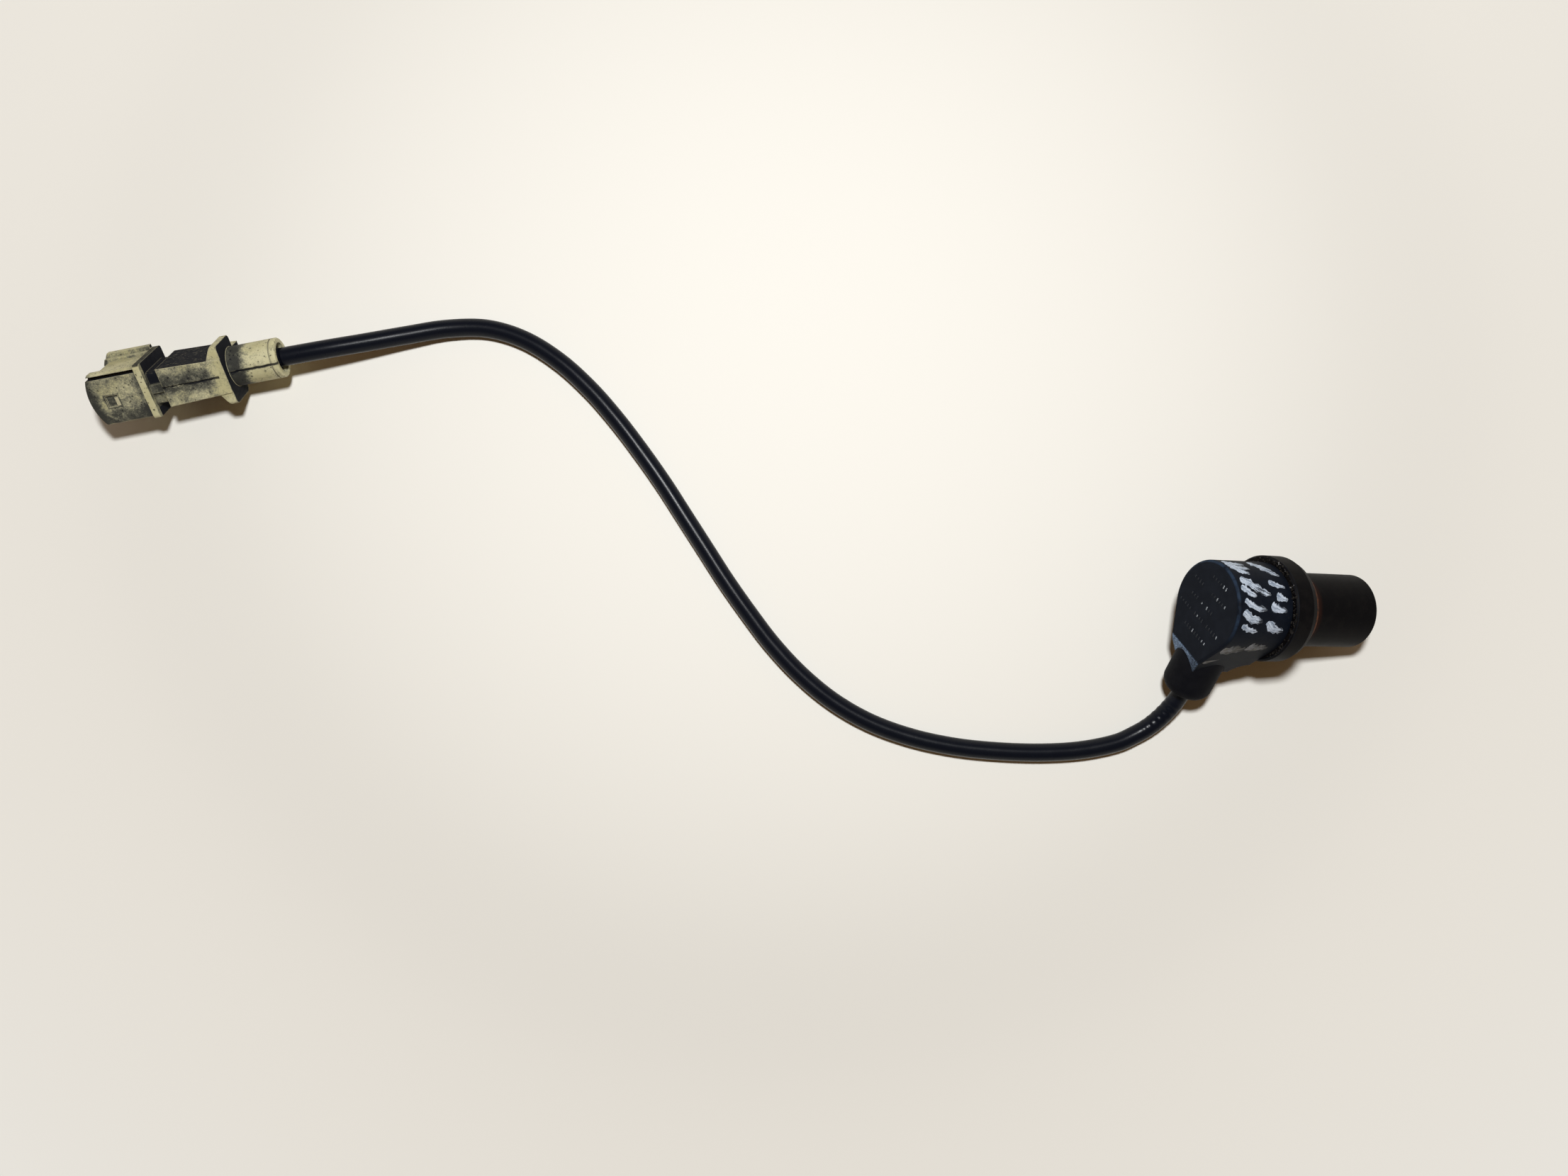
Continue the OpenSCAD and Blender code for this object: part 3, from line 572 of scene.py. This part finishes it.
def make_cable():
    """A round section carried along the line; near the boot its radius swells in small waves, as a bent
    jacket does."""
    line = cable_line()
    sides = CABLE_SIDES
    run = np.concatenate([[0], np.cumsum(np.linalg.norm(np.diff(line, axis=0), axis=1))])
    heading = np.gradient(line, axis=0)
    heading /= np.linalg.norm(heading, axis=1)[:, None]
    flank = np.cross(heading, [0, 0, 1])
    flank /= np.linalg.norm(flank, axis=1)[:, None]
    crown = np.cross(flank, heading)
    turn = np.linspace(0, 2 * np.pi, sides, endpoint=False)
    zone = np.clip((run - RIPPLE_FROM) / RIPPLE_GROWS, 0, 1) * np.clip((RIPPLE_TO - run) / RIPPLE_FADES, 0, 1)
    swell = RIPPLE_RISE * zone * np.sin(2 * np.pi * run / RIPPLE_PITCH)
    radius = CABLE_D / 2 + swell[:, None] * (0.6 + 0.4 * np.cos(turn - RIPPLE_LEAN))
    ring = np.cos(turn)[:, None] * crown[:, None, :] + np.sin(turn)[:, None] * flank[:, None, :]
    points = (line[:, None, :] + radius[:, :, None] * ring).reshape(-1, 3)
    faces = grid_faces(len(line), sides, round_rows=True).tolist()
    faces += [list(range(sides - 1, -1, -1)), list(range(len(points) - sides, len(points)))]
    piece = make_piece("cable_run", points, faces, jacket)
    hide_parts("cable")


make_cable()


# Brush strokes on the head's side: half width, then places as arc round the head and station along it

SIDE_ENDS = -(BOOT_ROLL + HEAD_TAPER)
STROKE_STEPS = 24
STROKE_ACROSS = 11
RAGGED = 0.4
SUNK = 0.03
STROKES = [
    (1.05, [(14.4, 1.2), (13.2, 3.8), (12.4, 6.6)]),
    (1.10, [(12.9, 1.0), (11.5, 3.6), (10.5, 6.9)]),
    (1.05, [(11.3, 1.4), (9.9, 3.6), (8.9, 5.8)]),
    (1.30, [(14.6, 8.8), (12.4, 10.1), (10.2, 11.8), (8.2, 14.2)]),
    (1.25, [(7.4, 1.8), (6.0, 4.2), (4.3, 6.6), (3.2, 9.8)]),
    (0.95, [(5.2, 1.3), (3.9, 3.3), (2.8, 5.4)]),
    (0.80, [(6.6, 9.7), (5.8, 11.7), (5.2, 14.3)]),
    (0.95, [(1.9, 1.7), (0.4, 4.3), (-0.5, 8.3)]),
    (0.92, [(3.3, 11.1), (2.5, 12.6), (2.2, 14.4)]),
    (1.05, [(0.9, 9.3), (0.0, 11.4), (-0.5, 14.1)]),
    (1.20, [(-0.9, 1.3), (-2.4, 3.9), (-3.3, 7.4)]),
    (1.20, [(-3.1, 8.6), (-4.7, 10.6), (-5.6, 14.2)]),
    (0.85, [(-4.2, 1.6), (-5.1, 3.8), (-5.7, 6.8)]),
]
SMEARS = [
    (2.3, [(-12.9, 0.7), (-12.4, 4.0), (-12.0, 7.5)]),
    (1.9, [(-10.8, 6.8), (-11.2, 9.6), (-10.9, 13.4)]),
    (0.75, [(-20.2, 0.9), (-19.0, 2.6), (-17.6, 4.6)]),
]


def head_skin(arc, station, lift):
    """Points over the head's side: arc runs round it from its top line, as a circle down to the tapered
    side and straight on from there, station runs towards the nose, and lift stands off the surface."""
    bend = np.maximum(arc / HEAD_R, SIDE_ENDS)[..., None]
    past = np.minimum(arc - SIDE_ENDS * HEAD_R, 0)[..., None]
    outward = np.cos(bend) * top + np.sin(bend) * side
    onward = np.cos(bend) * side - np.sin(bend) * top
    return face + station[..., None] * along + (HEAD_R + lift)[..., None] * outward + past * onward


def wavering(count, amount):
    """Smooth random values round 1: random knots four steps apart, joined by straight lines."""
    knots = 1 + amount * random.uniform(-1, 1, count // 4 + 2)
    return np.interp(np.arange(count) / 4, np.arange(len(knots)), knots)


def brush_stroke(half, points, rise):
    """A ribbon along a curve through (arc, station) points: domed across, round at its ends, ragged at its
    edges and narrower towards its end by the square of the way along."""
    line = curve_through(points, STROKE_STEPS)
    count = len(line)
    over = np.linspace(-1, 1, STROKE_ACROSS)
    run = np.concatenate([[0], np.cumsum(np.linalg.norm(np.diff(line, axis=0), axis=1))])
    heading = np.gradient(line, axis=0)
    heading /= np.linalg.norm(heading, axis=1)[:, None]
    share = np.linspace(0, 1, count)
    taper = np.sqrt(np.clip(1 - np.abs(2 * share - 1) ** 6, 0.02, 1)) * (1.08 - 0.45 * share ** 2)
    left = half * taper * wavering(count, RAGGED)
    right = half * taper * wavering(count, RAGGED)
    reach = np.where(over < 0, left[:, None], right[:, None]) * over
    arc = line[:, :1] - heading[:, 1:] * reach
    station = line[:, 1:] + heading[:, :1] * reach
    lift = (rise + SUNK) * taper[:, None] * (1 - over ** 2) ** 0.5 - SUNK
    spots = head_skin(arc, station, lift)
    texture = np.stack(np.broadcast_arrays(run[:, None] + 9 * half, half * over), axis=-1)
    load = (1 - share ** 2)[:, None] * (1 - over ** 4)
    return spots.reshape(-1, 3), grid_faces(count, len(over)), texture.reshape(-1, 2), load.ravel()


def make_strokes(name, strokes, rise, finish):
    """All strokes of one paint as one piece, with a texture map of length and breadth in millimetres."""
    spots, rows, texture, load = zip(*[brush_stroke(half, points, rise) for half, points in strokes])
    starts = np.cumsum([0] + [len(some) for some in spots])
    faces = np.vstack([some + start for some, start in zip(rows, starts)])
    piece = make_piece(name, np.vstack(spots), faces.tolist(), finish)
    layer = piece.data.uv_layers.new(name="brushed")
    layer.data.foreach_set("uv", np.vstack(texture)[faces.ravel()].ravel())
    piece.data.attributes.new("load", "FLOAT", "POINT").data.foreach_set("value", np.concatenate(load))


make_strokes("paint_strokes", STROKES, 0.05, paint_finish())
make_strokes("paint_smears", SMEARS, 0.02, smear_finish())


# Raised ticks on the head's face: rows of short neutral bars, each row a place towards the boot and a span

TICK_ROWS = [(-7.2, -3.0, 3.4), (-3.6, -6.4, 8.4), (0.2, -3.6, 6.2), (3.6, -7.4, 8.6), (7.4, -6.0, 6.6)]
TICK_PITCH = 1.05
TICK_SIZE = (1.05, 0.32, 0.13)
TICK_SHORTEST = 0.55
TICK_STRAY = 0.16
GAP_SHARE = 0.25
WORN_SHARE = 0.14


def make_ticks():
    """Each tick is a low dome on a small grid: its height falls off with high powers of the place along
    and across."""
    row_places = []
    for toward_boot, first, last in TICK_ROWS:
        spread = np.arange(first, last, TICK_PITCH)
        spread = spread[random.random(len(spread)) > GAP_SHARE] + random.uniform(-TICK_STRAY, TICK_STRAY, 1)
        row_places.append(np.column_stack([np.full(len(spread), toward_boot), spread]))
    places = np.vstack(row_places)
    count = len(places)
    long, wide = np.meshgrid(np.linspace(-1, 1, 9), np.linspace(-1, 1, 7), indexing="ij")
    size = TICK_SIZE[0] * random.uniform(TICK_SHORTEST, 1.0, count)
    rise = (TICK_SIZE[2] + SUNK) * (1 - long ** 8) * (1 - wide ** 4) - SUNK
    to_boot = places[:, 0, None] + 0.5 * size[:, None] * long.ravel()
    sideways = places[:, 1, None] + 0.5 * TICK_SIZE[1] * wide.ravel()
    points = (face + to_boot[..., None] * boot + sideways[..., None] * across
              - np.broadcast_to(rise.ravel(), to_boot.shape)[..., None] * along)
    one = grid_faces(*long.shape)
    faces = (one + long.size * np.arange(count)[:, None, None]).reshape(-1, 4)
    piece = make_piece("face_ticks", points.reshape(-1, 3), faces.tolist(), tick_finish())
    worn = piece.data.attributes.new("worn", "FLOAT", "POINT")
    rubbed = (random.random(count) < WORN_SHARE).astype(float)
    worn.data.foreach_set("value", np.repeat(rubbed, long.size))


make_ticks()


# Crumbs of dirt in the corner between head and collar

CRUMB_COUNT = 240
CRUMB_SIDES = 6
CRUMB_TURN = (math.radians(-75), math.radians(150))
CRUMB_LEAST = 0.09
CRUMB_MORE = 0.22
CRUMB_ROUGH = 0.35


def make_crumbs():
    """Coarse grains: two rings of points and two poles round each place, pushed in and out at random."""
    turn = random.uniform(*CRUMB_TURN, CRUMB_COUNT)
    radius = random.uniform(HEAD_R + 0.05, COLLAR_R - 0.2, CRUMB_COUNT)
    size = CRUMB_LEAST + CRUMB_MORE * random.random(CRUMB_COUNT) ** 3
    outward = np.cos(turn)[:, None] * top + np.sin(turn)[:, None] * side
    centre = face + HEAD_LEN * along + radius[:, None] * outward - 0.3 * size[:, None] * along
    around = np.linspace(0, 2 * np.pi, CRUMB_SIDES, endpoint=False)
    ring = np.column_stack([np.cos(around), np.sin(around), np.zeros(CRUMB_SIDES)])
    lower, upper = 0.87 * ring - [0, 0, 0.5], 0.87 * ring + [0, 0, 0.5]
    ball = np.vstack([[[0, 0, -1]], lower, upper, [[0, 0, 1]]])
    bumps = 1 + random.uniform(-CRUMB_ROUGH, CRUMB_ROUGH, (CRUMB_COUNT, len(ball)))
    points = centre[:, None, :] + (size[:, None] * bumps)[..., None] * ball
    here = np.arange(CRUMB_SIDES)
    after = (here + 1) % CRUMB_SIDES
    last = np.full(CRUMB_SIDES, len(ball) - 1)
    bottom = np.column_stack([np.zeros(CRUMB_SIDES, int), 1 + after, 1 + here])
    crown = np.column_stack([last, 1 + CRUMB_SIDES + here, 1 + CRUMB_SIDES + after])
    belt = np.column_stack([1 + here, 1 + after, 1 + CRUMB_SIDES + after, 1 + CRUMB_SIDES + here])
    starts = len(ball) * np.arange(CRUMB_COUNT)[:, None, None]
    faces = []
    for part in (bottom, belt, crown):
        faces += (part + starts).reshape(-1, part.shape[1]).tolist()
    make_piece("collar_crumbs", points.reshape(-1, 3), faces, crumb_finish())


make_crumbs()


# Stage and light: beyond the lamp's reach the floor is as pale as the walls

FLOOR_HALF = 4.0
TABLE_MIDDLE = (-119.6, 6.5, 0)
LIT_MIDDLE = (-119.6, 60, 0)
FLOOR_FADES = (180, 380)
GLOW_GROWS = (140, 360)
CREAM = rgb(0.91, 0.895, 0.835)
PALE = rgb(0.78, 0.76, 0.71)
OVERHEAD = rgb(0.10, 0.10, 0.11)
FILL = rgb(0.1, 0.06, 0.027)
BLACK = rgb(0, 0, 0)
LAMP_HIGH = 420
LAMP_AHEAD = 0.26 * LAMP_HIGH
LAMP_SIZE = 40
LAMP_POWER = 1.8
LAMP_TINT = (0.985, 1.0, 1.01)


def rays_seen(field):
    """1 for what the camera sees, directly or in a reflection, and 0 for the light that falls on the
    object."""
    direct, mirrored, through = (field.node("ShaderNodeLightPath", output=name) for name in (
        "Is Camera Ray", "Is Glossy Ray", "Is Transmission Ray"))
    return direct.both(mirrored).both(through)


def make_floor():
    """A wide square of cream; for seen rays its lit colour fades with the distance and its own glow grows."""
    corners = ((-1, -1), (1, -1), (1, 1), (-1, 1))
    mesh = bpy.data.meshes.new("floor")
    mesh.from_pydata([(x * FLOOR_HALF, y * FLOOR_HALF, 0) for x, y in corners], [], [(0, 1, 2, 3)])
    floor = bpy.data.objects.new("floor", mesh)
    bpy.context.collection.objects.link(floor)
    kind = Finish("floor_cream", Roughness=0.7, Specular_IOR_Level=0.2, Emission_Strength=1.0)
    seen = rays_seen(kind.place)
    off_right = kind.place.from_point(LIT_MIDDLE, (1, 0, 0))
    off_back = kind.place.from_point(LIT_MIDDLE, (0, 1, 0))
    distance = (off_right * off_right + off_back * off_back).root()
    far = seen * distance.step(*FLOOR_FADES)
    glow = seen * distance.step(*GLOW_GROWS)
    kind.set("Base Color", far.mixed(CREAM, BLACK))
    kind.set("Emission Color", glow.mixed(BLACK, PALE))
    mesh.materials.append(kind.material)


def make_room():
    """Pale walls under a dim ceiling for seen rays, and a weak warm fill for the light on the object."""
    world = bpy.data.worlds.new("room")
    bpy.context.scene.world = world
    world.use_nodes = True
    room = world.node_tree
    gaze = Field(room, room.nodes.new("ShaderNodeTexCoord").outputs["Generated"])
    upward = gaze.from_point((0, 0, 0), (0, 0, 1)).step(0.1, 0.65)
    tint = rays_seen(gaze).mixed(FILL, upward.mixed(PALE, OVERHEAD))
    room.links.new(tint.socket, room.nodes["Background"].inputs["Color"])


def lamp(name, at, aim, size, power, colour):
    """A square soft lamp at a place in millimetres, turned towards another."""
    data = bpy.data.lights.new(name, "AREA")
    data.size = size * MM
    data.energy = power
    data.color = colour
    made = bpy.data.objects.new(name, data)
    made.location = np.array(at) * MM
    gaze = np.array(aim) - np.array(at)
    flat = math.hypot(gaze[0], gaze[1])
    made.rotation_euler = (math.atan2(flat, -gaze[2]), 0, math.atan2(gaze[0], -gaze[1]) + math.pi)
    bpy.context.collection.objects.link(made)


make_floor()
lamp("key", (TABLE_MIDDLE[0], TABLE_MIDDLE[1] + LAMP_AHEAD, LAMP_HIGH), TABLE_MIDDLE,
     LAMP_SIZE, LAMP_POWER, LAMP_TINT)
make_room()
bpy.context.scene.view_settings.view_transform = "Standard"
